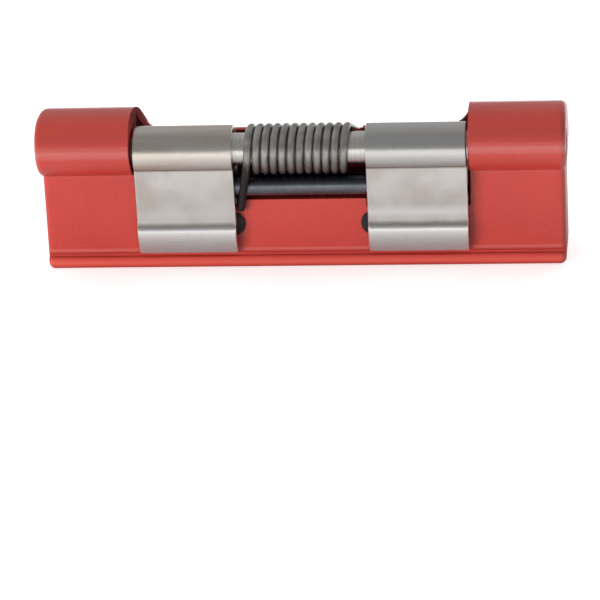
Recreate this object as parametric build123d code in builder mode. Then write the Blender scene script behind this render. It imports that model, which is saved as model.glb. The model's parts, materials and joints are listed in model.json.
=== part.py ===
from build123d import *
from math import acos, asin, atan2, cos, degrees, hypot, pi, radians, sin, sqrt
import os

# A pipe jaw for a bench vise, in millimetres. X runs along the jaw, the side that lies
# against the vise faces -Y, the side that grips the pipe faces +Y, and it stands on z = 0.

# Casting
body_length = 100.0
body_depth = 22.4
pin_height = 23.2
head_front = 5.4
head_radius = 6.0
head_rise = 1.2
head_turn = 105.0
head_overhang = 0.36
crest_reach = 3.9
crest_height = 7.35
plate_offset = 0.6
lip_height = 2.15
lip_proud = 0.5
lip_groove = 0.4
nose_height = -0.3
nose_set_back = 0.397
nose_drop = 3.0
nose_undercut = 0.8
nose_overlap = 0.15
seat_undercut = 2.8
seat_height = 13.6
end_rounding = 1.2
foot_rounding = 1.0

# Serrations of the gripping face
serration_count = 7
serration_pitch = 1.85
serration_depth = 0.4
serration_width = 1.3
serration_first = 1.1

# Middle cut-out, cavity and leg slot of the casting
opening_width = 63.7
rim_height = 2.1
rim_reach = 7.95
rim_inner_reach = 5.9
rim_corner = 4.5
panel_slope = 20.8
cavity_corner = 1.0

# Hinge pin
pin_diameter = 6.2
pin_recess = 1.0
pin_fit = 0.02
pin_chamfer = 0.5

# Clips, folded from spring strip
strip_thickness = 1.5
clip_width = 18.9
clip_side_gap = 0.4
knuckle_clearance = 0.05
leaf_top_reach = 3.5
leaf_foot_reach = 3.0
leaf_foot_drop = 14.2
bead_proud = 0.85
bead_height = 4.6
curl_end_angle = -115.0

# Link bar between the clips
bar_diameter = 4.5
bar_drop = 7.2
bar_reach = 0.55
bar_clearance = 0.05
bar_end_gap = 0.4
bar_chamfer = 0.3
swing_clearance = 0.35

# Torsion spring
wire_diameter = 1.5
wire_sides = 8
coil_outer_diameter = 9.7
coil_length = 20.2
coil_whole_turns = 11
runs_per_turn = 20
bar_leg_drop = 11.5
bar_leg_splay = 7.0
leg_clearance = 0.05
rim_leg_length = 10.6
rim_leg_angle = 69.5
slot_width = 3.0
slot_end_gap = 0.6

# Rubber stop buttons
button_diameter = 4.6
button_proud = 0.7
button_edge = 0.3
button_drop = 14.5
button_overlap = 0.8
button_stem_diameter = 2.6
button_stem_length = 3.0
button_stem_fit = 0.02

# Derived places
pin_y = head_front - body_depth / 2
pin_z = pin_height
pin_radius = pin_diameter / 2
bar_radius = bar_diameter / 2
wire_radius = wire_diameter / 2
half_opening = opening_width / 2
half_length = body_length / 2
clip_outer_end = half_opening - clip_side_gap
clip_inner_end = clip_outer_end - clip_width
foot_reach = body_depth - head_front
seat_reach = foot_reach - seat_undercut
lower_half_length = half_length - head_overhang
knuckle_radius = pin_radius + knuckle_clearance + strip_thickness / 2
curl_radius = bar_radius + bar_clearance + strip_thickness / 2
bar_distance = hypot(bar_reach, bar_drop)
bar_angle = degrees(atan2(-bar_drop, bar_reach))
middle_floor = bar_distance + bar_radius + swing_clearance
clip_floor = bar_distance + curl_radius + strip_thickness / 2 + swing_clearance
coil_radius = (coil_outer_diameter - wire_diameter) / 2
coil_rise = coil_length - wire_diameter
leg_offset = wire_radius + leg_clearance
pin_axis = Axis((0, pin_y, pin_z), (1, 0, 0))
side_view = Plane(origin=(0, pin_y, pin_z), x_dir=(0, 1, 0), z_dir=(1, 0, 0))

# Spring angles in side view, and where its rim leg crosses the rim
bar_leg_angle = bar_angle - degrees(acos((coil_radius - bar_radius - leg_offset) / bar_distance))
coil_turns = coil_whole_turns + (bar_leg_angle + 360 - rim_leg_angle) / 360
coil_pitch = coil_rise / coil_turns
leg_drift = coil_pitch * coil_turns / (coil_turns * 2 * pi * coil_radius)
slot_x = coil_rise / 2 + leg_drift * (rim_reach - coil_radius * cos(radians(rim_leg_angle)))
button_x = clip_inner_end + button_overlap
button_planes = [
    Plane((side * button_x, pin_y - plate_offset, pin_z - button_drop), (1, 0, 0), (0, -1, 0))
    for side in (-1, 1)
]


def on_circle(radius, angle, centre=(0, 0)):
    """A point in side view on a circle, its angle measured from the pipe side upwards."""
    return (centre[0] + radius * cos(radians(angle)), centre[1] + radius * sin(radians(angle)))


def side_plane(x):
    """The side view's plane at a place along the jaw, with the pin as its origin."""
    return side_view.offset(x)


# Jaw body: one casting with the head, the back plate and the gripping face
lip_reach = plate_offset + lip_proud
head_centre = (head_radius - head_front, head_rise)
plate_angle = 180 + degrees(acos((head_centre[0] + plate_offset) / head_radius))
head_start = on_circle(head_radius, plate_angle, head_centre)
head_middle = on_circle(head_radius, 180, head_centre)
head_end = on_circle(head_radius, head_turn, head_centre)
foot_line = -pin_height
lip_line = foot_line + lip_height
seat_top = (seat_reach, foot_line + seat_height)
nose_top = (foot_reach - nose_set_back, nose_height)
nose_foot = (foot_reach - nose_undercut, nose_height - nose_drop)
seat_end = tuple(foot + nose_overlap * (foot - top) for foot, top in zip(nose_foot, seat_top))
seat_lean = degrees(atan2(foot_reach - seat_reach, seat_height))


def seat_point(climb, depth=0.0):
    """A point in side view that far up the gripping face, and that far into it."""
    lean = radians(seat_lean)
    return (
        foot_reach - climb * sin(lean) - depth * cos(lean),
        foot_line + climb * cos(lean) - depth * sin(lean),
    )


# the head runs past the lower body a little at both ends
with BuildPart() as head_blank:
    with BuildSketch(side_plane(-half_length)):
        with BuildLine():
            head = ThreePointArc(head_start, head_middle, head_end)
            crown = TangentArc(head @ 1, (crest_reach, crest_height), tangent=head % 1)
            dome = TangentArc(crown @ 1, nose_top, tangent=crown % 1)
            nose = TangentArc(dome @ 1, nose_foot, tangent=dome % 1)
            Line(nose @ 1, head @ 0)
        make_face()
    extrude(amount=body_length)
    for end in (0, -1):
        fillet(head_blank.faces().sort_by(Axis.X)[end].edges(), end_rounding)

with BuildPart() as jaw_body:
    with BuildSketch(side_plane(-lower_half_length)):
        with BuildLine():
            Polyline(
                (-plate_offset, 0),
                (seat_reach, 0),
                seat_end,
                seat_top,
                (foot_reach, foot_line),
                (-lip_reach, foot_line),
                (-lip_reach, lip_line),
                (-plate_offset, lip_line + lip_proud),
                close=True,
            )
        make_face()
    extrude(amount=2 * lower_half_length)
    fillet(jaw_body.edges().filter_by(Axis.X).group_by(Axis.Z)[0], foot_rounding)
    for end in (0, -1):
        fillet(jaw_body.faces().sort_by(Axis.X)[end].edges(), end_rounding)
    add(head_blank.part)

    # the fine groove above the lip
    with BuildSketch(side_plane(-half_length)):
        with Locations((-plate_offset, lip_line + lip_proud)):
            Circle(lip_groove)
    extrude(amount=body_length, mode=Mode.SUBTRACT)

    # the bathtub-shaped cut-out, level over the mechanism and then down the sloping panel
    slope_down = Vector(0, cos(radians(panel_slope)), -sin(radians(panel_slope)))
    rim_point = Vector(0, pin_y + rim_reach, pin_z + rim_height)
    level_plane = Plane(rim_point - Vector(0, body_depth, 0), (-1, 0, 0), (0, 1, 0))
    panel_plane = Plane(rim_point - slope_down * rim_corner, (-1, 0, 0), slope_down)
    for section_plane in (level_plane, panel_plane):
        with BuildSketch(section_plane) as tub:
            Rectangle(opening_width, body_depth, align=(Align.CENTER, Align.MIN))
            fillet(tub.vertices().group_by(Axis.Y)[0], rim_corner)
        extrude(amount=2 * body_depth, mode=Mode.SUBTRACT)

    # the cavity behind the clips, deeper where they swing than between them
    pocket_end = clip_inner_end - clip_side_gap
    for floor, first, last in (
        (middle_floor, -half_opening, half_opening),
        (clip_floor, -half_opening, -pocket_end),
        (clip_floor, pocket_end, half_opening),
    ):
        with BuildSketch(side_plane(first)) as cavity:
            with Locations((rim_inner_reach, -floor)):
                Rectangle(body_depth, body_depth, align=(Align.MAX, Align.MIN))
            fillet(cavity.vertices().group_by(Axis.X)[-1].sort_by(Axis.Y)[0], cavity_corner)
        extrude(amount=last - first, mode=Mode.SUBTRACT)

    # the serrations, evenly spaced up from the foot of the gripping face
    with BuildSketch(side_plane(-half_length)):
        for index in range(serration_count):
            climb = serration_first + index * serration_pitch
            Polygon(
                seat_point(climb - serration_width / 2),
                seat_point(climb, serration_depth),
                seat_point(climb + serration_width / 2),
                seat_point(climb, -serration_depth),
                align=None,
            )
    extrude(amount=body_length, mode=Mode.SUBTRACT)

    # the pin's bore through both end blocks
    with BuildSketch(side_plane(-half_length)):
        Circle(pin_radius + pin_fit)
    extrude(amount=body_length, mode=Mode.SUBTRACT)

    # the slot in the rim that holds one leg of the spring
    rim_leg_start = on_circle(coil_radius - leg_offset, rim_leg_angle)
    slot_origin = (0, pin_y + rim_leg_start[0], pin_z + rim_leg_start[1])
    slot_run = (0, sin(radians(rim_leg_angle)), -cos(radians(rim_leg_angle)))
    slot_up = (0, cos(radians(rim_leg_angle)), sin(radians(rim_leg_angle)))
    with BuildSketch(Plane(slot_origin, slot_run, slot_up)) as slot:
        with Locations((0, -slot_x)):
            Rectangle(rim_leg_length + slot_end_gap, slot_width, align=(Align.MIN, Align.CENTER))
        fillet(slot.vertices().group_by(Axis.X)[-1], slot_width / 3)
    extrude(amount=coil_outer_diameter, mode=Mode.SUBTRACT)

    # the holes for the stems of the stop buttons
    with Locations(*button_planes):
        Hole(button_stem_diameter / 2 + button_stem_fit, button_stem_length + button_edge)
jaw_body.part.label = "jaw_body"


# Hinge pin: a plain ground rod through both end blocks
pin_half_length = half_length - pin_recess
with BuildPart() as hinge_pin:
    with BuildSketch(side_plane(-pin_half_length)):
        Circle(pin_radius)
    extrude(amount=2 * pin_half_length)
    chamfer(hinge_pin.faces().filter_by(Axis.X).edges(), pin_chamfer)
hinge_pin.part.label = "hinge_pin"


# Clips: one strip each, from the bead up the leaf, round the pin and down round the link bar
leaf_top_mid = leaf_top_reach - strip_thickness / 2
leaf_foot_mid = leaf_foot_reach - strip_thickness / 2
leaf_top = (-leaf_top_mid, -sqrt(knuckle_radius**2 - leaf_top_mid**2))
leaf_foot = (-leaf_foot_mid, -leaf_foot_drop)
bead_middle = (-leaf_foot_mid - bead_proud, -leaf_foot_drop - bead_height / 2)
bead_tip = (-leaf_foot_mid, -leaf_foot_drop - bead_height)
knuckle_start_angle = 360 + degrees(atan2(leaf_top[1], leaf_top[0]))
tail_angle = bar_angle + degrees(acos((knuckle_radius - curl_radius) / bar_distance))
bar_centre = (bar_reach, -bar_drop)


bead_arc = ThreePointArc(bead_tip, bead_middle, leaf_foot, mode=Mode.PRIVATE)
bead_centre = (bead_arc.arc_center.X, bead_arc.arc_center.Y)
bead_turn = degrees(asin(bead_height / 2 / bead_arc.radius))
strip_bends = (
    (bead_centre, bead_arc.radius, 180 - bead_turn, 180 + bead_turn),
    ((0, 0), knuckle_radius, knuckle_start_angle, tail_angle),
    (bar_centre, curl_radius, tail_angle, curl_end_angle),
)
strip_runs = (
    (leaf_foot, leaf_top),
    (
        on_circle(knuckle_radius, tail_angle),
        on_circle(curl_radius, tail_angle, bar_centre),
    ),
)


def run_corners(start, end):
    """The corners of a straight run of the strip, half its thickness to each side."""
    length = hypot(end[0] - start[0], end[1] - start[1])
    across = (
        (start[1] - end[1]) / length * strip_thickness / 2,
        (end[0] - start[0]) / length * strip_thickness / 2,
    )
    return [
        (point[0] + side * across[0], point[1] + side * across[1])
        for point, side in ((start, 1), (end, 1), (end, -1), (start, -1))
    ]


def make_clip(first_x):
    """The clip's folded strip, drawn bend by bend along the middle of its thickness."""
    with BuildPart() as clip:
        with BuildSketch(side_plane(first_x)):
            for centre, radius, first_angle, last_angle in strip_bends:
                with BuildLine():
                    sweep_angle = last_angle - first_angle
                    outside = CenterArc(centre, radius + strip_thickness / 2, first_angle, sweep_angle)
                    inside = CenterArc(centre, radius - strip_thickness / 2, first_angle, sweep_angle)
                    Line(outside @ 0, inside @ 0)
                    Line(outside @ 1, inside @ 1)
                make_face()
            for start, end in strip_runs:
                Polygon(*run_corners(start, end), align=None)
            with Locations(leaf_foot, leaf_top):
                Circle(strip_thickness / 2)
        extrude(amount=clip_width)
    return clip


clip_left = make_clip(-clip_outer_end)
clip_left.part.label = "clip_left"
clip_right = make_clip(clip_inner_end)
clip_right.part.label = "clip_right"


# Link bar: the black rod held in both curls
bar_half_length = clip_outer_end - bar_end_gap
with BuildPart() as link_bar:
    with BuildSketch(side_plane(-bar_half_length)):
        with Locations(bar_centre):
            Circle(bar_radius)
    extrude(amount=2 * bar_half_length)
    chamfer(link_bar.faces().filter_by(Axis.X).edges(), bar_chamfer)
link_bar.part.label = "link_bar"


# Torsion spring: close turns round the pin, one leg on the link bar and one on the rim
with BuildPart() as torsion_spring:
    with BuildLine() as wire_path:
        turns = Helix(
            pitch=coil_pitch,
            height=coil_rise,
            radius=coil_radius,
            center=(-coil_rise / 2, pin_y, pin_z),
            direction=(1, 0, 0),
            lefthand=True,
            mode=Mode.PRIVATE,
        )
        first_point = turns @ 0
        drawn_angle = degrees(atan2(first_point.Z - pin_z, first_point.Y - pin_y))
        turns = turns.rotate(pin_axis, bar_leg_angle - drawn_angle)
        run_count = round(coil_turns * runs_per_turn)
        stations = [turns @ (index / run_count) for index in range(run_count + 1)]
        bar_leg_run = (turns % 0) + Vector(sin(radians(bar_leg_splay)), 0, 0)
        bar_leg_length = ((turns @ 0).Z - pin_z + bar_leg_drop) / bar_leg_run.Z
        bar_leg_end = turns @ 0 - bar_leg_run * bar_leg_length
        rim_leg_end = turns @ 1 + (turns % 1) * rim_leg_length
        Polyline(bar_leg_end, *stations, rim_leg_end)
    with BuildSketch(Plane(origin=bar_leg_end, z_dir=bar_leg_run)):
        RegularPolygon(wire_radius, wire_sides)
    sweep(transition=Transition.RIGHT)
torsion_spring.part.label = "torsion_spring"


def make_button(seat):
    """A rubber stop button, its head on the plate and its stem in the plate's hole."""
    with BuildPart() as button:
        with BuildSketch(seat):
            Circle(button_diameter / 2)
        extrude(amount=button_proud)
        chamfer(button.faces().sort_by(Axis.Y)[0].edges(), button_edge)
        with BuildSketch(seat):
            Circle(button_stem_diameter / 2)
        extrude(amount=-button_stem_length)
    return button


stop_button_left = make_button(button_planes[0])
stop_button_left.part.label = "stop_button_left"
stop_button_right = make_button(button_planes[1])
stop_button_right.part.label = "stop_button_right"


os.makedirs("parts", exist_ok=True)
for piece in (
    jaw_body,
    hinge_pin,
    clip_left,
    clip_right,
    link_bar,
    torsion_spring,
    stop_button_left,
    stop_button_right,
):
    export_step(piece.part, f"parts/{piece.part.label}.step")
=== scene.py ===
"""Looks of the vise pipe jaw: red cast paint, folded clips, a wound spring and their studio."""

import json
import logging
import math
from dataclasses import dataclass, field
from enum import Enum

import bpy
import numpy as np
from mathutils import Matrix, Vector


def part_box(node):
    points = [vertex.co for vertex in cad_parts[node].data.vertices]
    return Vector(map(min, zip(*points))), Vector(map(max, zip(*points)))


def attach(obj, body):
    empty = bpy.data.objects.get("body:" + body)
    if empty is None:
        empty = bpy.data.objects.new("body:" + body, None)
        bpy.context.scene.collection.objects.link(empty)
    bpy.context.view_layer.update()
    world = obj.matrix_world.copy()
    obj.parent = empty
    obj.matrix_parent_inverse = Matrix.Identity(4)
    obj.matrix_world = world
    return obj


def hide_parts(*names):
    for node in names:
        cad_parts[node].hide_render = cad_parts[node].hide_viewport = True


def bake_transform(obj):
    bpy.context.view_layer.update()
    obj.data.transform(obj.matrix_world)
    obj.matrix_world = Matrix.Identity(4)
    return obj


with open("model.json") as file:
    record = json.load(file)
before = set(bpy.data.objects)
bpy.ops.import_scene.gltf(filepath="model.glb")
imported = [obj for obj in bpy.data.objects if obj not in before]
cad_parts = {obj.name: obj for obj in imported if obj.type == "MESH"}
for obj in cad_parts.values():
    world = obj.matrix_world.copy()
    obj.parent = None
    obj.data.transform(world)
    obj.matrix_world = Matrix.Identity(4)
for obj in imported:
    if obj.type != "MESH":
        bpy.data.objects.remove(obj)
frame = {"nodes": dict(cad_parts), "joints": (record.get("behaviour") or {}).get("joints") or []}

Socket = bpy.types.NodeSocket
Colour = tuple[float, float, float]
Triple = tuple[float, float, float]
Span = tuple[float, float]
Faces = list[tuple[int, ...]]
Names = tuple[str, ...]
Number = Socket | float

MM: float = 0.001
CLIP_BODY: str = "clips"
PIN: Triple = tuple(frame["joints"][0]["pos_m"])
log = logging.getLogger("pipe_jaw")


class Mark(Enum):
    """The masks of the speckle group."""

    GRAIN = "Grain"
    BLOTCH = "Blotch"


def smooth_mesh(name: str, points: np.ndarray, faces: Faces) -> bpy.types.Object:
    """Makes a smooth-shaded object at the origin from points in metres.

    Args:
        name: the object's name.
        points: an N by 3 array.
        faces: tuples of point numbers, wound outwards.

    Returns:
        The linked object.
    """
    mesh = bpy.data.meshes.new(name)
    mesh.from_pydata(points.tolist(), [], faces)
    mesh.validate()
    mesh.polygons.foreach_set("use_smooth", np.ones(len(mesh.polygons), bool))
    made = bpy.data.objects.new(name, mesh)
    bpy.context.scene.collection.objects.link(made)
    return made


def ring_faces(rings: int, sides: int) -> Faces:
    """The faces that join rings of points, each ring's point numbers following the last one's.

    Args:
        rings: how many rings there are.
        sides: points in each ring.

    Returns:
        Four-sided faces, and a many-sided one that closes each end.
    """
    ring = np.arange(rings - 1)[:, None] * sides
    side = np.arange(sides)[None, :]
    after = (side + 1) % sides
    corners = [ring + after, ring + sides + after, ring + sides + side, ring + side]
    faces = [tuple(quad) for quad in np.stack(corners, axis=-1).reshape(-1, 4).tolist()]
    last = (rings - 1) * sides
    return [*faces, tuple(range(sides)), tuple(range(last + sides - 1, last - 1, -1))]


def swept_tube(path: np.ndarray, radius: np.ndarray, sides: int) -> tuple[np.ndarray, Faces]:
    """A round tube along a path: each ring is the path's point plus the radius times a circle.

    The circle lies in the plane across the path's tangent, spanned by the tangent crossed with
    the X axis and by the cross product of the two, so that it never twists along a coil.

    Args:
        path: N by 3 points in metres.
        radius: N radii in metres.
        sides: points round the tube.

    Returns:
        The points and the faces.
    """
    tangent = np.gradient(path, axis=0)
    tangent /= np.linalg.norm(tangent, axis=1, keepdims=True)
    across = np.cross(tangent, np.array([1.0, 0.0, 0.0]))
    across /= np.linalg.norm(across, axis=1, keepdims=True)
    other = np.cross(tangent, across)
    turn = np.linspace(0.0, 2.0 * math.pi, sides, endpoint=False)[None, :, None]
    circle = across[:, None, :] * np.cos(turn) + other[:, None, :] * np.sin(turn)
    points = path[:, None, :] + radius[:, None, None] * circle
    return points.reshape(-1, 3), ring_faces(len(path), sides)


def distances(path: np.ndarray) -> np.ndarray:
    """How far along a path each of its points lies: the sums of its steps' lengths.

    Args:
        path: N points in metres.

    Returns:
        N distances in metres.
    """
    steps = np.linalg.norm(np.diff(path, axis=0), axis=1)
    return np.concatenate([[0.0], np.cumsum(steps)])


def tip_inset(distance: np.ndarray, ease: float) -> np.ndarray:
    """How far the surface draws in at cut tips, as a quarter circle does.

    It is the ease less the square root of its square less that of how far the point is short
    of one ease from the nearer tip.

    Args:
        distance: N distances along the path in metres.
        ease: the quarter circle's radius.

    Returns:
        N insets in metres.
    """
    edge = np.minimum(distance, distance[-1] - distance)
    short = np.clip(ease - edge, 0.0, ease)
    return ease - np.sqrt(ease**2 - short**2)


class Wiring:
    """A node tree while it is being wired."""

    def __init__(self, tree: bpy.types.NodeTree, coordinates: str = "Object") -> None:
        """Starts with a tree.

        Args:
            tree: the tree.
            coordinates: the Texture Coordinate output that it reads.
        """
        self.tree = tree
        self.nodes = tree.nodes
        self.coordinates = coordinates

    def put(self, value: Number | tuple, socket: Socket) -> None:
        """Joins a source to a socket, or sets the socket's own plain value.

        Args:
            value: the source or the value.
            socket: the socket that takes it.
        """
        if isinstance(value, Socket):
            self.tree.links.new(value, socket)
        else:
            socket.default_value = value

    def give(self, node: bpy.types.Node, **values: Number | tuple) -> None:
        """Joins or sets a node's inputs.

        Args:
            node: the node.
            values: sources or plain values, by name with underscores for spaces.
        """
        for name, value in values.items():
            self.put(value, node.inputs[name.replace("_", " ")])

    def node(self, kind: str, **values: object) -> bpy.types.Node:
        """Adds a node and sets its properties by name.

        Args:
            kind: Blender's node type.
            values: properties of the node.

        Returns:
            The node.
        """
        made = self.nodes.new(kind)
        for name, value in values.items():
            setattr(made, name, value)
        return made

    def reckon(self, operation: str, *terms: Number) -> Socket:
        """One step of arithmetic.

        Args:
            operation: the Math node's operation.
            terms: its sources or plain numbers.

        Returns:
            The result's socket.
        """
        made = self.node("ShaderNodeMath", operation=operation)
        for term, socket in zip(terms, made.inputs):
            self.put(term, socket)
        return made.outputs[0]

    def ranged(
        self, value: Socket, low: float, high: float, start: Number = 0.0, end: Number = 1.0
    ) -> Socket:
        """A number that runs from start to end as a value runs from low to high, and stays there.

        Args:
            value: the value.
            low: where it starts.
            high: where it ends.
            start: the number at low.
            end: the number at high.

        Returns:
            The number's socket.
        """
        made = self.node("ShaderNodeMapRange")
        self.give(made, Value=value, From_Min=low, From_Max=high, To_Min=start, To_Max=end)
        return made.outputs["Result"]

    def between(self, mask: Socket, start: Number, end: Number) -> Socket:
        """A number that is start where the mask is 0 and end where it is 1."""
        return self.ranged(mask, 0.0, 1.0, start, end)

    def place(self) -> Socket:
        """The coordinates that the tree reads."""
        return self.node("ShaderNodeTexCoord").outputs[self.coordinates]

    def axis(self, name: str, unsigned: bool = False) -> Socket:
        """One of the coordinates.

        Args:
            name: X, Y or Z.
            unsigned: whether its sign is dropped.

        Returns:
            The coordinate's socket.
        """
        parts = self.node("ShaderNodeSeparateXYZ")
        self.put(self.place(), parts.inputs[0])
        value = parts.outputs[name]
        return self.reckon("ABSOLUTE", value) if unsigned else value


@dataclass(frozen=True)
class Noise:
    """A kind of noise: its octaves and how strong the finer ones are."""

    detail: float
    rough: float = 0.5


class GroupSketch(Wiring):
    """A shader node group while it is being wired, with named inputs and outputs."""

    def __init__(self, name: str, vectors: Names, scales: Names, masks: Names) -> None:
        """Starts a group.

        Args:
            name: the group's name.
            vectors: its vector inputs' names.
            scales: its number inputs' names.
            masks: its outputs' names.
        """
        super().__init__(bpy.data.node_groups.new(name, "ShaderNodeTree"))
        sockets = [(label, "INPUT", "NodeSocketVector") for label in vectors]
        sockets += [(label, "INPUT", "NodeSocketFloat") for label in scales]
        sockets += [(label, "OUTPUT", "NodeSocketFloat") for label in masks]
        for label, way, kind in sockets:
            self.tree.interface.new_socket(label, in_out=way, socket_type=kind)
        self.given = self.node("NodeGroupInput").outputs
        self.masks = self.node("NodeGroupOutput").inputs

    def fill(self, mask: str, kind: Noise, place: Socket, scale: Socket) -> None:
        """Puts noise into a mask.

        Args:
            mask: the mask's name.
            kind: the kind of noise.
            place: the coordinates.
            scale: the input that gives its scale.
        """
        noise = self.node("ShaderNodeTexNoise", noise_dimensions="3D")
        self.give(noise, Vector=place, Scale=scale, Detail=kind.detail, Roughness=kind.rough)
        self.put(noise.outputs["Fac"], self.masks[mask])


class Effects:
    """The shader node groups that more than one finish uses."""

    marks: dict[Mark, Noise] = {Mark.GRAIN: Noise(3.0), Mark.BLOTCH: Noise(4.0)}
    streak: Noise = Noise(5.0, 0.62)

    def __init__(self) -> None:
        """Builds each group once."""
        self.speckle = self._speckle()
        self.streaks = self._streaks()

    def _speckle(self) -> bpy.types.NodeTree:
        """Soft blotches and fine grain.

        Returns:
            A group with a mask of each.
        """
        masks = tuple(mark.value for mark in self.marks)
        scales = tuple(f"{mask} Scale" for mask in masks)
        sketch = GroupSketch("speckle", ("Vector",), scales, masks)
        given = sketch.given
        for mask, scale, kind in zip(masks, scales, self.marks.values()):
            sketch.fill(mask, kind, given["Vector"], given[scale])
        return sketch.tree

    def _streaks(self) -> bpy.types.NodeTree:
        """Fine lines along one axis, made by noise whose coordinates are stretched across it.

        Returns:
            A group with one streak mask.
        """
        sketch = GroupSketch("streaks", ("Vector", "Stretch"), ("Scale",), ("Streak",))
        given = sketch.given
        stretched = sketch.node("ShaderNodeVectorMath", operation="MULTIPLY")
        sketch.put(given["Vector"], stretched.inputs[0])
        sketch.put(given["Stretch"], stretched.inputs[1])
        sketch.fill("Streak", self.streak, stretched.outputs["Vector"], given["Scale"])
        return sketch.tree


class Surface(Wiring):
    """A material while its nodes are being wired, around one Principled shader."""

    def __init__(self, name: str) -> None:
        """Starts a material with a Principled shader.

        Args:
            name: the material's name.
        """
        self.material = bpy.data.materials.new(name)
        self.material.use_nodes = True
        super().__init__(self.material.node_tree)
        self.shader = self.nodes["Principled BSDF"]

    def feed(self, **sources: Number | tuple) -> bpy.types.Material:
        """Joins or sets the shader's own sockets.

        Args:
            sources: sources or plain values, by name with underscores for spaces.

        Returns:
            The material.
        """
        self.give(self.shader, **sources)
        return self.material


class Finish(Surface):
    """The surface of a piece of the jaw, with the shared effects to hand."""

    def __init__(self, name: str, effects: Effects) -> None:
        """Starts a material of that name, with the shared node groups."""
        super().__init__(name)
        self.effects = effects

    def effect(self, group: bpy.types.NodeTree, **values: float | Triple) -> bpy.types.Node:
        """Places a shared group on Object coordinates.

        Args:
            group: the group.
            values: its other inputs, by name with underscores for spaces.

        Returns:
            The group's node.
        """
        made = self.node("ShaderNodeGroup", node_tree=group)
        self.give(made, Vector=self.place(), **values)
        return made

    def speckle(self, scales: Span) -> dict[Mark, Socket]:
        """Places the speckle group.

        Args:
            scales: grains and blotches for each metre.

        Returns:
            Its masks.
        """
        grain, blotch = scales
        made = self.effect(self.effects.speckle, Grain_Scale=grain, Blotch_Scale=blotch)
        return {mark: made.outputs[mark.value] for mark in Mark}

    def streaks(self, stretch: Triple, scale: float) -> Socket:
        """Places the streak group.

        Args:
            stretch: how much finer the noise runs along each axis.
            scale: streaks for each metre, before stretching.

        Returns:
            Its streak mask.
        """
        made = self.effect(self.effects.streaks, Stretch=stretch, Scale=scale)
        return made.outputs["Streak"]

    def blend(
        self, mask: Socket, start: Colour | Socket, end: Colour, share: float = 1.0
    ) -> Socket:
        """Mixes two colours by a mask.

        Args:
            mask: 0 gives start and 1 gives end.
            start: a colour or a socket.
            end: a colour.
            share: how much of end the mask's 1 gives.

        Returns:
            The mixed colour.
        """
        made = self.node("ShaderNodeMix", data_type="RGBA")
        # Mix has two inputs and an output for each data type, and all share their names.
        factor, first, second = made.inputs[0], made.inputs[6], made.inputs[7]
        self.put(mask if share == 1.0 else self.between(mask, 0.0, share), factor)
        self.put((*start, 1.0) if isinstance(start, tuple) else start, first)
        self.put((*end, 1.0), second)
        return made.outputs[2]

    def bump(
        self, height: Socket, strength: float, distance: float, under: Socket | None = None
    ) -> Socket:
        """Raises the surface's shading by a height mask.

        Args:
            height: the height mask.
            strength: from 0 to 1.
            distance: the height of 1, in metres.
            under: a normal that this one is laid over.

        Returns:
            The normal's socket.
        """
        made = self.node("ShaderNodeBump")
        self.give(made, Height=height, Strength=strength, Distance=distance)
        if under is not None:
            self.give(made, Normal=under)
        return made.outputs["Normal"]

    def both(self, first: Socket, second: Socket) -> Socket:
        """The product of two masks."""
        return self.reckon("MULTIPLY", first, second)

    def apart(self, value: Socket, place: float) -> Socket:
        """How far a value is from a place, whichever side of it."""
        return self.reckon("ABSOLUTE", self.reckon("SUBTRACT", value, place))

    def line(self, value: Socket, place: float, width: float, flat: float = 0.0) -> Socket:
        """A mask that is 1 near a place and fades to 0 away from it.

        Args:
            value: the coordinate.
            place: the middle.
            width: how far from the middle the mask is 0.
            flat: how far from the middle it is 1.

        Returns:
            The mask.
        """
        return self.ranged(self.apart(value, place), width, flat)


# In the finishes below, marks are grains and blotches for each metre, a bump is its strength and
# its height in metres, a line is its place and the distance at which it fades out, and a span is
# the values of a mask between which a change is made.


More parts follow.
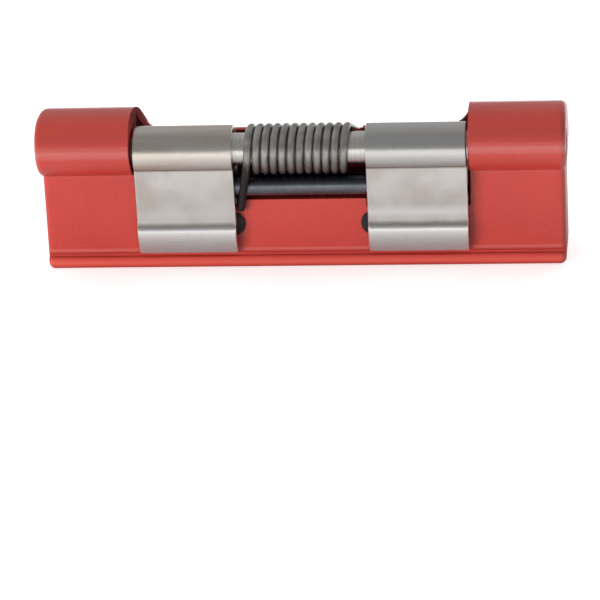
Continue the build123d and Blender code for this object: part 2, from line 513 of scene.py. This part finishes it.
@dataclass(frozen=True)
class CastPaint:
    """Red paint over an iron casting: orange peel, slight tone changes and satin gloss. It has
    painted shade in the pocket, in the groove and over the brow, painted highlights beside the
    groove and on the lip, and is glossier along the crown."""

    red: Colour = (0.520, 0.048, 0.034)
    deep_red: Colour = (0.465, 0.038, 0.028)
    pale_red: Colour = (0.560, 0.075, 0.058)
    fine_marks: Span = (620.0, 170.0)
    broad_marks: Span = (1860.0, 59.5)
    deep_span: Span = (0.35, 0.68)
    fleck_span: Span = (0.60, 0.80)
    peel_bump: Span = (0.45, 0.00012)
    ripple_bump: Span = (0.35, 0.00042)
    gloss: Span = (0.36, 0.48)
    specular: float = 0.3
    coat_roughness: float = 0.14
    coat_ior: float = 1.9
    head_foot: Span = (17.8 * MM, 18.6 * MM)
    coats: Span = (0.25, 0.42)
    crown_line: Triple = (23.80 * MM, 1.00 * MM, 0.45 * MM)
    # Painted shade: the pocket's walls and the end walls above the rim are darkened.
    pocket_shade_red: Colour = (0.150, 0.012, 0.010)
    pocket_half: float = 31.90 * MM
    pocket_floor: float = 14.0 * MM
    pocket_back: Span = (2.15 * MM, 0.10 * MM)
    pocket_rough: float = 0.90
    wall_foot: Span = (25.3 * MM, 25.8 * MM)
    # Painted light along the front: a highlight above the groove, shade in the groove, a highlight
    # on the lip and shade over the brow.
    groove_edge_highlight_red: Colour = (0.530, 0.092, 0.076)
    groove_edge_highlight_line: Span = (3.60 * MM, 0.45 * MM)
    groove_shade_red: Colour = (0.290, 0.028, 0.021)
    groove_line: Span = (2.85 * MM, 0.62 * MM)
    lip_highlight_red: Colour = (0.640, 0.088, 0.064)
    lip_line: Span = (1.20 * MM, 0.90 * MM)
    brow_shade_red: Colour = (0.380, 0.043, 0.032)
    brow_line: Span = (27.0 * MM, 3.40 * MM)
    line_flat: float = 0.1 * MM
    front_face: Span = (-6.0 * MM, -6.3 * MM)
    soft_edge: float = 0.12 * MM

    def _pocket(self, finish: Finish) -> Socket:
        """A mask of the pocket's walls, and above the rim of the cut-out's end walls.

        Args:
            finish: what is being wired.

        Returns:
            The mask.
        """
        half, low, soft = self.pocket_half, self.pocket_floor, self.soft_edge
        inside = finish.ranged(finish.axis("X", unsigned=True), half + soft, half)
        opening = finish.both(inside, finish.ranged(finish.axis("Z"), low, low + soft))
        deep = finish.ranged(finish.axis("Y"), *self.pocket_back)
        return finish.both(opening, finish.ranged(finish.axis("Z"), *self.wall_foot, deep, 1.0))

    def _shades(self, finish: Finish, colour: Socket, front: Socket) -> Socket:
        """Lays the painted highlights and painted shades that run along the jaw's front.

        Args:
            finish: what is being wired.
            colour: the paint's colour.
            front: the mask of the front.

        Returns:
            The shaded colour.
        """
        lines = self.groove_edge_highlight_line, self.groove_line, self.lip_line, self.brow_line
        reds = self.groove_edge_highlight_red, self.groove_shade_red, self.lip_highlight_red, self.brow_shade_red
        for (place, width), red in zip(lines, reds):
            line = finish.line(finish.axis("Z"), place, width, self.line_flat)
            colour = finish.blend(finish.both(line, front), colour, red)
        return colour

    def _coat(self, finish: Finish, pocket: Socket, front: Socket) -> Socket:
        """How strong the gloss is: more on the head than below, and most along its crown.

        Args:
            finish: what is being wired.
            pocket: the mask of the pocket, which has none.
            front: the mask of the front.

        Returns:
            The coat's weight.
        """
        head = finish.ranged(finish.axis("Z"), *self.head_foot, *self.coats)
        crown = finish.both(finish.line(finish.axis("Z"), *self.crown_line), front)
        coat = finish.between(crown, head, 1.0)
        return finish.between(pocket, coat, 0.0)

    def material(self, effects: Effects) -> bpy.types.Material:
        """Wires the paint.

        Args:
            effects: the shared node groups.

        Returns:
            Its material.
        """
        finish = Finish("red_cast_paint", effects)
        fine, broad = finish.speckle(self.fine_marks), finish.speckle(self.broad_marks)
        deep = finish.ranged(broad[Mark.BLOTCH], *self.deep_span)
        flecks = finish.ranged(broad[Mark.GRAIN], *self.fleck_span)
        pocket = self._pocket(finish)
        front = finish.ranged(finish.axis("Y"), *self.front_face)
        colour = finish.blend(deep, self.red, self.deep_red)
        colour = finish.blend(flecks, colour, self.pale_red)
        # Painted shade darkens the pocket.
        colour = finish.blend(pocket, colour, self.pocket_shade_red)
        colour = self._shades(finish, colour, front)
        normal = finish.bump(fine[Mark.BLOTCH], *self.ripple_bump)
        normal = finish.bump(fine[Mark.GRAIN], *self.peel_bump, normal)
        rough = finish.between(fine[Mark.BLOTCH], *self.gloss)
        rough = finish.between(pocket, rough, self.pocket_rough)
        coat = self._coat(finish, pocket, front)
        finish.feed(Base_Color=colour, Roughness=rough, Normal=normal, Coat_Weight=coat)
        return finish.feed(
            Specular_IOR_Level=self.specular,
            Coat_Roughness=self.coat_roughness,
            Coat_IOR=self.coat_ior,
        )


@dataclass(frozen=True)
class RolledStrip:
    """Rolled steel strip: cloudy and duller on its flat leaf, warm and bright in streaks where it
    was folded, with soft streaks along the folds. Painted highlights brighten its bead, a band
    above the bead and its cut edges, and painted shade darkens its creases."""

    name: str
    warm: Colour = (0.72, 0.65, 0.56)
    bright: Colour = (0.78, 0.75, 0.72)
    leaf: Colour = (0.71, 0.67, 0.635)
    stain: Colour = (0.58, 0.53, 0.485)
    # Painted shade in the creases, in this colour.
    crease_shade: Colour = (0.20, 0.175, 0.145)
    # Painted highlight on the strip's cut edges.
    edge_highlight: Colour = (0.86, 0.84, 0.81)
    marks: Span = (1500.0, 150.0)
    streak_scale: float = 90.0
    stretch: Triple = (0.6, 8.0, 8.0)
    bright_span: Span = (0.40, 0.70)
    stain_span: Span = (0.40, 0.66)
    roughness: Span = (0.20, 0.34)
    leaf_roughness: float = 0.38
    leaf_top: float = 20.14 * MM
    leaf_foot: float = 9.05 * MM
    soft_edge: float = 0.12 * MM
    # Painted highlight: the bead below the leaf's foot is brightened.
    bead: Colour = (0.93, 0.92, 0.91)
    bead_drop: float = 0.6 * MM
    # Painted highlight: a band on the leaf above the bead.
    leaf_highlight: Colour = (0.88, 0.87, 0.865)
    leaf_highlight_line: Span = (11.35 * MM, 1.60 * MM)
    leaf_highlight_share: float = 0.30
    top_crease: Span = (0.35 * MM, 0.65)
    foot_crease: Span = (1.1 * MM, 0.12)
    strip_middle: float = 22.0 * MM
    edge_highlight_band: Span = (9.17 * MM, 9.43 * MM)
    edge_highlight_share: float = 0.8
    streak_bump: Span = (0.2, 0.00003)
    cloud_bump: Span = (0.3, 0.00012)

    def _painted_light(self, finish: Finish, colour: Socket) -> Socket:
        """Lays the painted highlights on the band above the bead and on the cut edges, and the
        painted shade in the creases, over the steel.

        Args:
            finish: what is being wired.
            colour: the steel's colour.

        Returns:
            The colour with its painted highlights and shade.
        """
        height = finish.axis("Z")
        leaf_highlight = finish.line(height, *self.leaf_highlight_line)
        colour = finish.blend(leaf_highlight, colour, self.leaf_highlight, self.leaf_highlight_share)
        creases = (self.leaf_top, *self.top_crease), (self.leaf_foot, *self.foot_crease)
        for place, width, share in creases:
            crease = finish.line(height, place, width)
            colour = finish.blend(crease, colour, self.crease_shade, share)
        side = finish.apart(finish.axis("X", unsigned=True), self.strip_middle)
        edge = finish.ranged(side, *self.edge_highlight_band)
        return finish.blend(edge, colour, self.edge_highlight, self.edge_highlight_share)

    def material(self, effects: Effects) -> bpy.types.Material:
        """Wires the strip's steel.

        Args:
            effects: the shared node groups.

        Returns:
            Its material.
        """
        finish = Finish(self.name, effects)
        streak = finish.streaks(self.stretch, self.streak_scale)
        cloud = finish.speckle(self.marks)[Mark.BLOTCH]
        height, top, foot, soft = finish.axis("Z"), self.leaf_top, self.leaf_foot, self.soft_edge
        over_foot = finish.ranged(height, foot, foot + soft)
        flat = finish.both(over_foot, finish.ranged(height, top + soft, top))
        below = finish.ranged(height, foot - soft, foot - self.bead_drop)
        stained = finish.both(flat, finish.ranged(cloud, *self.stain_span))
        colour = finish.blend(finish.ranged(streak, *self.bright_span), self.warm, self.bright)
        # The bead's colour is a painted highlight.
        for mask, shade in ((below, self.bead), (flat, self.leaf), (stained, self.stain)):
            colour = finish.blend(mask, colour, shade)
        colour = self._painted_light(finish, colour)
        rough = finish.between(streak, *self.roughness)
        rough = finish.between(flat, rough, self.leaf_roughness)
        normal = finish.bump(streak, *self.streak_bump)
        normal = finish.bump(cloud, *self.cloud_bump, normal)
        return finish.feed(Base_Color=colour, Roughness=rough, Normal=normal, Metallic=1.0)


@dataclass(frozen=True)
class GroundRod:
    """Bright ground steel with fine rings round the rod."""

    steel: Colour = (0.80, 0.78, 0.73)
    ring: Colour = (0.62, 0.60, 0.56)
    ring_scale: float = 160.0
    stretch: Triple = (14.0, 0.4, 0.4)
    ring_span: Span = (0.45, 0.75)
    roughness: Span = (0.20, 0.36)
    ring_bump: Span = (0.3, 0.00002)

    def material(self, effects: Effects) -> bpy.types.Material:
        """Wires the rod's steel.

        Args:
            effects: the shared node groups.

        Returns:
            Its material.
        """
        finish = Finish("ground_rod", effects)
        rings = finish.streaks(self.stretch, self.ring_scale)
        colour = finish.blend(finish.ranged(rings, *self.ring_span), self.steel, self.ring)
        rough = finish.between(rings, *self.roughness)
        normal = finish.bump(rings, *self.ring_bump)
        return finish.feed(Base_Color=colour, Roughness=rough, Normal=normal, Metallic=1.0)


@dataclass(frozen=True)
class MottledStock:
    """Stock whose colour and gloss change in fine marks. Each kind gives the values."""

    name: str
    dark: Colour
    worn: Colour
    marks: Span
    worn_span: Span
    roughness: Span
    raised: Mark
    raise_bump: Span
    metallic: float

    def shaded(self, finish: Finish, colour: Socket) -> Socket:
        """The colour under the kind's own painted shade. Plain stock has none."""
        return colour

    def material(self, effects: Effects) -> bpy.types.Material:
        """Wires the stock's finish.

        Args:
            effects: the shared node groups.

        Returns:
            Its material.
        """
        finish = Finish(self.name, effects)
        marks = finish.speckle(self.marks)
        worn = finish.ranged(marks[Mark.BLOTCH], *self.worn_span)
        colour = self.shaded(finish, finish.blend(worn, self.dark, self.worn))
        rough = finish.between(marks[Mark.GRAIN], *self.roughness)
        normal = finish.bump(marks[self.raised], *self.raise_bump)
        finish.feed(Base_Color=colour, Roughness=rough, Normal=normal)
        return finish.feed(Metallic=self.metallic)


@dataclass(frozen=True)
class DrawnWire(MottledStock):
    """Dark drawn spring wire, brighter where it is worn, with painted shade under its coil and on
    its lower leg, which the painted shade turns black."""

    name: str = "drawn_wire"
    dark: Colour = (0.27, 0.26, 0.245)
    worn: Colour = (0.50, 0.485, 0.46)
    marks: Span = (2600.0, 420.0)
    worn_span: Span = (0.35, 0.75)
    roughness: Span = (0.24, 0.36)
    raised: Mark = Mark.BLOTCH
    raise_bump: Span = (0.2, 0.00002)
    metallic: float = 0.75
    # Painted shade under the coil, in this colour.
    under: Colour = (0.10, 0.095, 0.09)
    coil_shade_heights: Span = (23.3 * MM, 19.6 * MM)
    coil_shade_share: float = 0.7
    # Painted shade: the lower leg is turned black.
    leg_shade_black: Colour = (0.035, 0.033, 0.031)
    leg_side: Span = (-9.2 * MM, -10.0 * MM)
    leg_heights: Span = (22.8 * MM, 20.6 * MM)

    def shaded(self, finish: Finish, colour: Socket) -> Socket:
        """Lays painted shade on the wire under the coil and on its lower leg, which it turns black.

        Args:
            finish: what is being wired.
            colour: the wire's colour.

        Returns:
            The shaded colour.
        """
        under = finish.ranged(finish.axis("Z"), *self.coil_shade_heights)
        colour = finish.blend(under, colour, self.under, self.coil_shade_share)
        side = finish.ranged(finish.axis("X"), *self.leg_side)
        leg = finish.both(side, finish.ranged(finish.axis("Z"), *self.leg_heights))
        return finish.blend(leg, colour, self.leg_shade_black)


@dataclass(frozen=True)
class BlackenedRod(MottledStock):
    """Blackened steel with a cold blue-grey sheen, darkened on top by painted shade."""

    name: str = "blackened_rod"
    dark: Colour = (0.165, 0.180, 0.205)
    worn: Colour = (0.24, 0.255, 0.285)
    marks: Span = (1800.0, 260.0)
    worn_span: Span = (0.4, 0.8)
    roughness: Span = (0.22, 0.36)
    raised: Mark = Mark.GRAIN
    raise_bump: Span = (0.2, 0.00003)
    metallic: float = 1.0
    # Painted shade on the rod's top, under the coil.
    top_shade: Colour = (0.030, 0.032, 0.036)
    top_shade_heights: Span = (16.2 * MM, 17.2 * MM)
    top_shade_share: float = 0.9

    def shaded(self, finish: Finish, colour: Socket) -> Socket:
        """The colour with painted shade on top, where the coil above shades the rod."""
        top_shade = finish.ranged(finish.axis("Z"), *self.top_shade_heights)
        return finish.blend(top_shade, colour, self.top_shade, self.top_shade_share)


@dataclass(frozen=True)
class MouldedRubber(MottledStock):
    """Matt black rubber with a fine moulded grain."""

    name: str = "moulded_rubber"
    dark: Colour = (0.010, 0.010, 0.011)
    worn: Colour = (0.028, 0.028, 0.030)
    marks: Span = (3200.0, 500.0)
    worn_span: Span = (0.0, 1.0)
    roughness: Span = (0.60, 0.80)
    raised: Mark = Mark.GRAIN
    raise_bump: Span = (0.4, 0.00004)
    metallic: float = 0.0


@dataclass
class CastNodes:
    """The CAD nodes that keep their own shape and take a finish."""

    finishes: dict[str, object] = field(
        default_factory=lambda: {
            "jaw_body": CastPaint(),
            "hinge_pin": GroundRod(),
            "link_bar": BlackenedRod(),
            "stop_button_left": MouldedRubber(),
            "stop_button_right": MouldedRubber(),
        }
    )

    def dress(self, effects: Effects) -> None:
        """Gives each node its finish, one material for each kind.

        Args:
            effects: the shared node groups.
        """
        made: dict[str, bpy.types.Material] = {}
        for node, finish in self.finishes.items():
            kind = type(finish).__name__
            if kind not in made:
                made[kind] = finish.material(effects)
            held = frame["nodes"][node]
            held.data.materials.clear()
            held.data.materials.append(made[kind])
            log.info("dressed %s as %s", node, kind)


@dataclass
class FoldedClip:
    """A clip folded from one strip: a curl round the link bar, a knuckle round the pin, a flat
    leaf and a bead at its foot. Its cut edges are rounded, and so is the crease's inside."""

    node: str
    first_x: float
    width: float = 18.9 * MM
    half_thickness: float = 0.75 * MM
    edge_radius: float = 0.24 * MM
    edge_steps: int = 6
    edge_flat: float = 0.6
    tip_ease: float = 0.2 * MM
    tip_steps: int = 6
    step: float = math.radians(4.0)
    least_steps: int = 6
    bar_place: Span = (0.55 * MM, -7.2 * MM)
    curl_radius: float = 3.05 * MM
    curl_end: float = math.radians(-115.0)
    knuckle_radius: float = 3.90 * MM
    leaf_top: Span = (-2.75 * MM, -2.765 * MM)
    leaf_foot: Span = (-2.25 * MM, -13.75 * MM)
    crease_radius: float = 0.80 * MM
    bead_crease_radius: float = 3.75 * MM
    bead_lean: float = math.radians(23.0)
    bead_head_radius: float = 2.5 * MM
    bead_foot_radius: float = 6.2 * MM
    bead_foot_turn: float = math.radians(40.0)

    def _bends(self) -> list[Span]:
        """The strip's runs and bends, from the curl's end to the bead's tip.

        A bend is its radius and its turn, and a run is its length and no turn. The run from the
        curl to the knuckle is their common tangent. The crease between knuckle and leaf is the
        arc that touches both, found from its centre, which lies a crease's radius outside each.

        Returns:
            Pairs of a radius or length in metres and a turn in radians.
        """
        bar_y, bar_z = self.bar_place
        apart, wider = math.hypot(bar_y, bar_z), self.knuckle_radius - self.curl_radius
        tail = math.atan2(bar_z, bar_y) + math.acos(wider / apart)
        tail_run = math.sqrt(apart**2 - wider**2)
        top, foot = Vector(self.leaf_top), Vector(self.leaf_foot)
        down = (foot - top).normalized()
        out = Vector((down.y, -down.x))
        reach = top.dot(out) + self.crease_radius
        drop = math.sqrt((self.knuckle_radius + self.crease_radius) ** 2 - reach**2)
        crease = out * reach + down * drop
        knuckle_end = math.atan2(crease.y, crease.x) % (2 * math.pi)
        heading = math.atan2(down.y, down.x) % (2 * math.pi)
        back = knuckle_end + math.pi / 2 - heading
        lean = heading - (1.5 * math.pi - self.bead_lean)
        half_back = self.bead_crease_radius * math.tan(lean / 2)
        leaf = (foot - crease).dot(down) - half_back
        return [
            (self.curl_radius, tail - self.curl_end),
            (tail_run, 0.0),
            (self.knuckle_radius, knuckle_end - tail),
            (self.crease_radius, -back),
            (leaf, 0.0),
            (self.bead_crease_radius, -lean),
            (self.bead_head_radius, self.bead_lean),
            (self.bead_foot_radius, self.bead_foot_turn),
        ]

    def middle_line(self) -> tuple[np.ndarray, np.ndarray]:
        """The middle of the strip in side view, round the pin.

        Each short step of a bend is the chord of its arc, twice the radius times the sine of half
        the step's turn, laid along the heading at the step's middle. The places are their sums.

        Returns:
            N by 2 points in metres, and the N headings in radians.
        """
        chords, middles, headings = [], [], []
        heading = self.curl_end + math.pi / 2
        for size, turn in self._bends():
            count = max(self.least_steps, math.ceil(abs(turn) / self.step))
            share = np.linspace(0.0, turn, count + 1)
            part = turn / count
            chord = size / count if turn == 0.0 else 2 * size * math.sin(abs(part) / 2)
            chords.append(np.full(count, chord))
            middles.append(heading + share[:-1] + part / 2)
            headings.append(heading + share[:-1])
            heading += turn
        chord, middle = np.concatenate(chords), np.concatenate(middles)
        steps = chord[:, None] * np.stack([np.cos(middle), np.sin(middle)], axis=1)
        curl = np.array([math.cos(self.curl_end), math.sin(self.curl_end)])
        start = np.array(self.bar_place) + self.curl_radius * curl
        places = start + np.concatenate([np.zeros((1, 2)), np.cumsum(steps, axis=0)])
        return places, np.concatenate([*headings, [heading]])

    def _section(self) -> tuple[np.ndarray, np.ndarray]:
        """The strip's section: a quarter circle at each corner, with a point on the flat by it.

        Returns:
            K signs of the corner and K cosines and sines of its arc, as K by 2 arrays: a point
            is the corner's sign times the half size less the edge's radius, plus the radius
            times the arc.
        """
        quarter = np.linspace(0.0, math.pi / 2, self.edge_steps)
        arc = np.stack([np.cos(quarter), np.sin(quarter)], axis=1)
        arc = np.concatenate([[[1.0, -self.edge_flat]], arc, [[-self.edge_flat, 1.0]]])
        signs = np.array([[1, 1], [-1, 1], [-1, -1], [1, -1]], float)
        turns = np.array([[1, 0, 0, 1], [0, -1, 1, 0], [-1, 0, 0, -1], [0, 1, -1, 0]], float)
        arcs = np.einsum("cij,kj->cki", turns.reshape(4, 2, 2), arc)
        corners = np.repeat(signs[:, None, :], len(arc), axis=1)
        return corners.reshape(-1, 2), arcs.reshape(-1, 2)

    def _surface(self) -> tuple[np.ndarray, Faces]:
        """Carries the section along the middle line.

        A point is the line's place, plus its section's first number along X and its second along
        the strip's normal. At the cut tips the section shrinks as a quarter circle does.

        Returns:
            The points and the faces.
        """
        places, headings = self.middle_line()
        distance = distances(places)
        quarter = np.linspace(0.0, math.pi / 2, self.tip_steps)[:-1]
        ease = self.tip_ease * (1.0 - np.sin(quarter))
        far = distance[-1] - self.tip_ease
        stations = np.unique(np.concatenate([distance, self.tip_ease - ease, far + ease]))
        turn = np.interp(stations, distance, headings)
        middle = np.stack([np.interp(stations, distance, places[:, k]) for k in (0, 1)], axis=1)
        inset = tip_inset(stations, self.tip_ease)
        corners, arcs = self._section()
        flat = corners * (np.array([self.width / 2, self.half_thickness]) - self.edge_radius)
        section = (flat + self.edge_radius * arcs)[None] - inset[:, None, None] * corners[None]
        _, pin_y, pin_z = PIN
        sideways = section[..., 0] + self.first_x + self.width / 2
        forward = pin_y + middle[:, None, 0] + section[..., 1] * np.sin(turn)[:, None]
        up = pin_z + middle[:, None, 1] - section[..., 1] * np.cos(turn)[:, None]
        points = np.stack([sideways, forward, up], axis=-1).reshape(-1, 3)
        return points, ring_faces(len(stations), len(corners))

    def build(self, material: bpy.types.Material) -> bpy.types.Object:
        """Sets the clip over its CAD node.

        Args:
            material: the clip's finish.

        Returns:
            The clip's object.
        """
        clip = smooth_mesh(f"{self.node}_strip", *self._surface())
        clip.data.materials.append(material)
        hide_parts(self.node)
        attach(clip, CLIP_BODY)
        log.info("folded %s", clip.name)
        return clip


@dataclass
class TorsionSpring:
    """The wound spring: turns round the pin, a leg on the link bar and a leg on the rim."""

    wire_radius: float = 0.75 * MM
    coil_radius: float = 4.10 * MM
    rise: float = 18.7 * MM
    shift: float = -0.3 * MM
    whole_turns: int = 11
    leg_gap: float = 0.05 * MM
    bar_leg_drop: float = 11.5 * MM
    bar_leg_splay: float = math.radians(7.0)
    rim_leg_angle: float = math.radians(69.5)
    rim_leg_length: float = 10.6 * MM
    steps_per_turn: int = 72
    sides: int = 20
    leg_steps: int = 14
    tip_steps: int = 6
    tip_ease: float = 0.25 * MM

    def _bar_leg_angle(self) -> float:
        """The angle, in side view, at which the lower leg leaves the coil to graze the link bar.

        Returns:
            Radians, measured from the pipe side upwards.
        """
        low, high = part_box("link_bar")
        bar_radius = (high[2] - low[2]) / 2
        _, pin_y, pin_z = PIN
        reach = (low[1] + high[1]) / 2 - pin_y
        drop = (low[2] + high[2]) / 2 - pin_z
        offset = self.coil_radius - bar_radius - self.wire_radius - self.leg_gap
        return math.atan2(drop, reach) - math.acos(offset / math.hypot(reach, drop))

    def _leg(self, foot: np.ndarray, run: np.ndarray, length: float) -> np.ndarray:
        """A straight leg: its foot plus the run times distances, closely spaced at the cut tip.

        Args:
            foot: the point on the coil, which the leg leaves out.
            run: the direction away from the coil, of length one.
            length: the leg's length in metres.

        Returns:
            N by 3 points from the coil to the tip.
        """
        shaft = np.linspace(0.0, length - self.tip_ease, self.leg_steps)[1:]
        quarter = np.linspace(0.0, math.pi / 2, self.tip_steps)[1:]
        tip = length - self.tip_ease + self.tip_ease * np.sin(quarter)
        return foot + run * np.concatenate([shaft, tip])[:, None]

    def path(self) -> np.ndarray:
        """The wire's middle line: a straight leg, a left-hand helix about X and a straight leg.

        The helix falls in angle as it runs along X. The rim leg leaves along its tangent, and the
        bar leg does too but for its splay along X.

        Returns:
            N by 3 points in metres.
        """
        _, pin_y, pin_z = PIN
        first, last = self._bar_leg_angle() + 2 * math.pi, self.rim_leg_angle
        swept = first - last + 2 * math.pi * self.whole_turns
        share = np.linspace(0.0, 1.0, int(self.steps_per_turn * swept / (2 * math.pi)))
        angle, coil = first - swept * share, self.coil_radius
        along = self.rise * (share - 0.5) + self.shift
        turns = np.column_stack([along, pin_y + coil * np.cos(angle), pin_z + coil * np.sin(angle)])
        ends, pitch = np.array([first, last]), np.full(2, self.rise / swept)
        runs = np.column_stack([pitch, coil * np.sin(ends), -coil * np.cos(ends)])
        runs /= np.linalg.norm(runs, axis=1, keepdims=True)
        bar_run = -(runs[0] + np.array([math.sin(self.bar_leg_splay), 0.0, 0.0]))
        bar_run /= np.linalg.norm(bar_run)
        bar_leg = (pin_z - self.bar_leg_drop - turns[0, 2]) / bar_run[2]
        before = self._leg(turns[0], bar_run, bar_leg)[::-1]
        after = self._leg(turns[-1], runs[1], self.rim_leg_length)
        return np.concatenate([before, turns, after])

    def build(self, effects: Effects) -> bpy.types.Object:
        """Makes the wire, with its cut ends eased, and sets it over its CAD node.

        Args:
            effects: the shared node groups.

        Returns:
            The spring's object.
        """
        path = self.path()
        radius = self.wire_radius - tip_inset(distances(path), self.tip_ease)
        spring = smooth_mesh("torsion_spring_wire", *swept_tube(path, radius, self.sides))
        spring.data.materials.append(DrawnWire().material(effects))
        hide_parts("torsion_spring")
        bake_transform(spring)
        log.info("wound %s", spring.name)
        return spring


def turned(first: Vector, second: Vector, angle: float) -> tuple[Vector, Vector]:
    """Turns two axes in their own plane: each is itself times the angle's cosine, with the other
    times the sine taken from the first and added to the second.

    Args:
        first: an axis.
        second: the axis a right angle from it.
        angle: radians.

    Returns:
        The two axes.
    """
    cosine, sine = math.cos(angle), math.sin(angle)
    return first * cosine - second * sine, second * cosine + first * sine


@dataclass
class PhotoCamera:
    """The photograph's viewpoint: its angle, its distance and where the jaw lies in the frame."""

    azimuth: float = 6.93
    elevation: float = 16.0
    roll: float = 2.73
    distance: float = 0.5656
    focal_pixels: float = 3000.0
    frame_pixels: float = 600.0
    sensor: float = 36.0
    clip_distances: Span = (0.01, 20.0)
    pin_pixel: Span = (307.4, 148.5)

    def place(self) -> bpy.types.Object:
        """Makes the camera. It looks past the jaw, whose pin then lies at its pixel.

        Returns:
            The camera's object.
        """
        turn, rise, roll = (math.radians(v) for v in (self.azimuth, self.elevation, self.roll))
        level = Vector((-math.sin(turn), math.cos(turn), 0.0))
        ahead = level * math.cos(rise) - Vector((0.0, 0.0, math.sin(rise)))
        right = Vector((math.cos(turn), math.sin(turn), 0.0))
        up = right.cross(ahead)
        spot = Vector(PIN) - self.distance * ahead
        half = self.frame_pixels / 2
        pan = math.atan((self.pin_pixel[0] - half) / self.focal_pixels)
        tilt = math.atan((half - self.pin_pixel[1]) / self.focal_pixels * math.cos(pan))
        ahead, right = turned(ahead, right, pan)
        ahead, up = turned(ahead, up, tilt)
        right, up = turned(right, up, roll)
        lens = bpy.data.cameras.new("photo_camera")
        lens.sensor_width = self.sensor
        lens.lens = self.focal_pixels / self.frame_pixels * self.sensor
        lens.clip_start, lens.clip_end = self.clip_distances
        camera = bpy.data.objects.new("photo_camera", lens)
        bpy.context.scene.collection.objects.link(camera)
        axes = Matrix((right, up, -ahead)).transposed().to_4x4()
        camera.matrix_world = Matrix.Translation(spot) @ axes
        bpy.context.scene.camera = camera
        return camera


@dataclass(frozen=True)
class SoftLamp:
    """A rectangular soft lamp that faces the jaw and stays out of its reflections."""

    name: str
    spot: Triple
    size: Span
    power: float
    aim: Triple = (0.0, 0.0, 12.0 * MM)

    def hang(self) -> None:
        """Makes the lamp and turns it to its aim."""
        data = bpy.data.lights.new(self.name, "AREA")
        data.shape = "RECTANGLE"
        data.size, data.size_y = self.size
        data.energy = self.power
        lamp = bpy.data.objects.new(self.name, data)
        bpy.context.scene.collection.objects.link(lamp)
        facing = (Vector(self.aim) - Vector(self.spot)).to_track_quat("-Z", "Y")
        lamp.matrix_world = Matrix.Translation(self.spot) @ facing.to_matrix().to_4x4()
        lamp.visible_glossy = False


@dataclass
class Studio:
    """A pale floor, soft lamps and a white room that is grey overhead in reflections."""

    floor_half: float = 3.0
    floor_colour: Colour = (0.80, 0.80, 0.80)
    floor_roughness: float = 0.9
    floor_specular: float = 0.1
    floor_glow: float = 0.62
    near_glow: Span = (0.0, 0.55)
    near_reach: Span = (10.0 * MM, 75.0 * MM)
    jaw_half: float = 50.0 * MM
    room_light: float = 0.38
    overhead: Span = (0.27, 0.42)
    overhead_band: Span = (-0.3, 0.6)
    horizon_band: Span = (0.0, 0.10)
    white: Colour = (1.0, 1.0, 1.0)
    lamps: tuple[SoftLamp, ...] = (
        SoftLamp("front_lamp", (-0.5, -0.78, 0.07), (0.6, 0.13), 7.8),
        SoftLamp("top_lamp", (-0.4, 0.25, 1.0), (0.9, 0.5), 3.2),
        SoftLamp("back_lamp", (0.3, 0.85, 0.30), (0.8, 0.4), 5.0),
    )

    def _glow(self, surface: Surface) -> Socket:
        """How much light the floor gives off: even to the camera, none to other rays, and in
        reflections rising with the distance from the jaw, which is the larger of the unsigned Y
        and of the unsigned X less the jaw's half length.

        Args:
            surface: the floor's material.

        Returns:
            The strength.
        """
        rays = surface.node("ShaderNodeLightPath").outputs
        past_end = surface.reckon("SUBTRACT", surface.axis("X", unsigned=True), self.jaw_half)
        beside = surface.reckon("MAXIMUM", past_end, surface.axis("Y", unsigned=True))
        near = surface.ranged(beside, *self.near_reach, *self.near_glow)
        mirror = surface.reckon("MAXIMUM", rays["Is Glossy Ray"], rays["Is Transmission Ray"])
        mirrored = surface.reckon("MULTIPLY", mirror, near)
        return surface.between(rays["Is Camera Ray"], mirrored, self.floor_glow)

    def _floor(self) -> None:
        """Lays the floor. To the camera it is nearly white, and it keeps the jaw's shadow."""
        half = self.floor_half
        corners = half * np.array([[-1, -1, 0], [1, -1, 0], [1, 1, 0], [-1, 1, 0]], float)
        floor = smooth_mesh("studio_floor", corners, [(0, 1, 2, 3)])
        surface = Surface("studio_floor")
        light, total = surface.node("ShaderNodeEmission"), surface.node("ShaderNodeAddShader")
        surface.give(light, Strength=self._glow(surface))
        surface.put(surface.shader.outputs[0], total.inputs[0])
        surface.put(light.outputs[0], total.inputs[1])
        surface.give(surface.nodes["Material Output"], Surface=total.outputs[0])
        surface.feed(Base_Color=(*self.floor_colour, 1.0), Roughness=self.floor_roughness)
        floor.data.materials.append(surface.feed(Specular_IOR_Level=self.floor_specular))

    def _room(self) -> None:
        """Lights the room evenly. It is white to the camera and round the floor's edge, and in
        reflections it turns grey overhead, darker in front than behind, as an open studio is."""
        world = bpy.data.worlds.new("white_room")
        bpy.context.scene.world = world
        world.use_nodes = True
        room = Wiring(world.node_tree, "Generated")
        rays = room.node("ShaderNodeLightPath").outputs
        overhead = room.ranged(room.axis("Y"), *self.overhead_band, *self.overhead)
        mirrored = room.ranged(room.axis("Z"), *self.horizon_band, 1.0, overhead)
        plain = room.between(rays["Is Camera Ray"], self.room_light, 1.0)
        strength = room.between(rays["Is Glossy Ray"], plain, mirrored)
        room.give(room.nodes["Background"], Strength=strength, Color=(*self.white, 1.0))

    def build(self) -> None:
        """Lays the floor, lights the room and hangs the lamps."""
        self._floor()
        self._room()
        for lamp in self.lamps:
            lamp.hang()
        bpy.context.scene.view_settings.view_transform = "Standard"


def main() -> None:
    """Builds the camera, the room and every piece."""
    logging.basicConfig(level=logging.INFO, format="%(name)s: %(message)s")
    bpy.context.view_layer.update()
    PhotoCamera().place()
    effects = Effects()
    CastNodes().dress(effects)
    FoldedClip("clip_left", -31.45 * MM).build(RolledStrip("left_strip").material(effects))
    FoldedClip("clip_right", 12.55 * MM).build(
        RolledStrip(
            "right_strip",
            warm=(0.66, 0.645, 0.625),
            bright=(0.70, 0.70, 0.70),
            streak_scale=70.0,
            leaf_highlight_share=0.85,
        ).material(effects)
    )
    TorsionSpring().build(effects)
    Studio().build()


if __name__ == "__main__":
    main()
